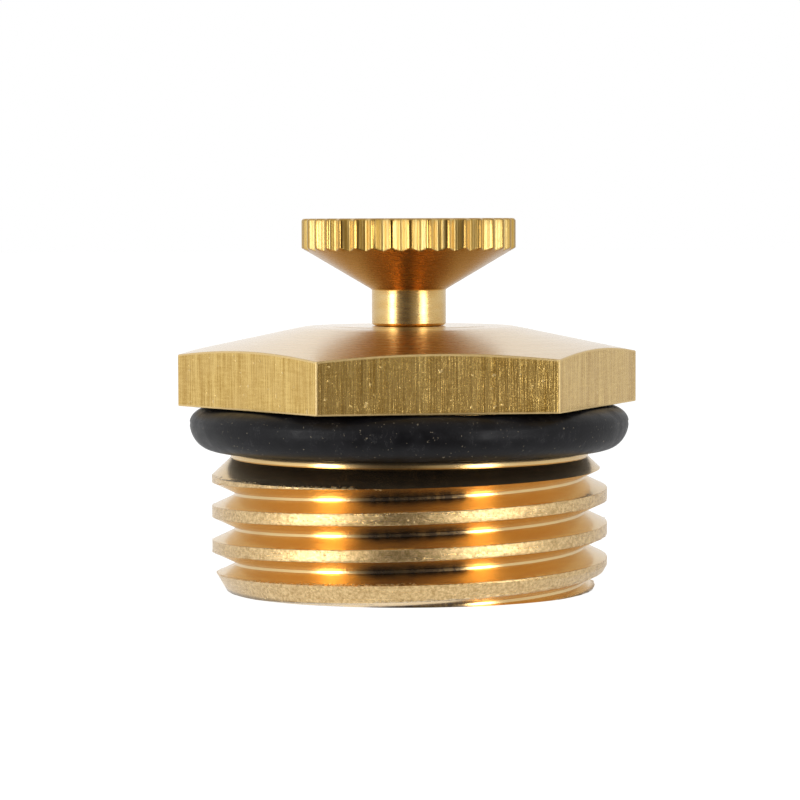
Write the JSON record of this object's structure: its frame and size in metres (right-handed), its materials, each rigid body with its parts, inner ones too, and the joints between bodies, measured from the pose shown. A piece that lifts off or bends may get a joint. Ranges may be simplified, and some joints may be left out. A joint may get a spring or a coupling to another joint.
{
  "type": "automatic air vent",
  "caption": "Hexagonal brass radiator plug with a parallel pipe thread, black sealing ring and knurled shut-off knob, holding a swelling-disc automatic vent and an inlet check valve.",
  "frame": {"origin": "centre of the threaded end face, on the axis", "axes": "+Z along the axis towards the knob, +X towards one corner of the hexagon"},
  "size_m": [0.0242, 0.023, 0.0193],
  "materials": {
    "brass_body": "drawn and turned, satin",
    "brass_knob": "fine turned, bright",
    "brass_inner": "turned",
    "black_rubber": "moulded, satin",
    "white_ptfe": "matte",
    "white_acetal": "moulded, matte",
    "spring_steel": "bright",
    "cellulose_fibre": "pressed fibre"
  },
  "bodies": {
    "plug": {"plug_body": "brass_body", "plug_o_ring": "black_rubber", "retaining_ring": "spring_steel", "inlet_cap": "brass_inner", "inlet_strainer": "spring_steel", "check_seat": "brass_inner", "cage_seal_ring": "black_rubber", "check_spring": "spring_steel", "disc_cage": "white_acetal", "fibre_disc_01": "cellulose_fibre", "fibre_disc_02": "cellulose_fibre", "fibre_disc_03": "cellulose_fibre", "fibre_disc_04": "cellulose_fibre", "fibre_disc_05": "cellulose_fibre", "fibre_disc_06": "cellulose_fibre", "fibre_disc_07": "cellulose_fibre", "fibre_disc_08": "cellulose_fibre", "top_washer": "spring_steel", "top_gasket": "black_rubber"},
    "stem_lift": {"stem_seat_pad": "white_ptfe"},
    "knob": {"vent_knob": "brass_knob"},
    "check_valve": {"check_poppet": "white_acetal", "poppet_seal": "black_rubber"}
  },
  "joints": [
    {"name": "stem_lift", "type": "slide", "parent": "plug", "child": "stem_lift", "axis": [0, 0, 1], "range_m": [0, 0.00075]},
    {"name": "knob_turn", "type": "hinge", "parent": "stem_lift", "child": "knob", "pos_m": [0, 0, 0.0135], "axis": [0, 0, 1], "range_deg": [0, 540]},
    {"name": "check_valve_lift", "type": "slide", "parent": "plug", "child": "check_valve", "axis": [0, 0, 1], "range_m": [0, 0.0007], "stiffness_N_per_m": 60, "springref_m": -0.0005, "deforming": ["check_spring"]}
  ],
  "couplings": [
    {"joint": "knob_turn", "follows": "stem_lift", "rad_per_m": 12566}
  ]
}
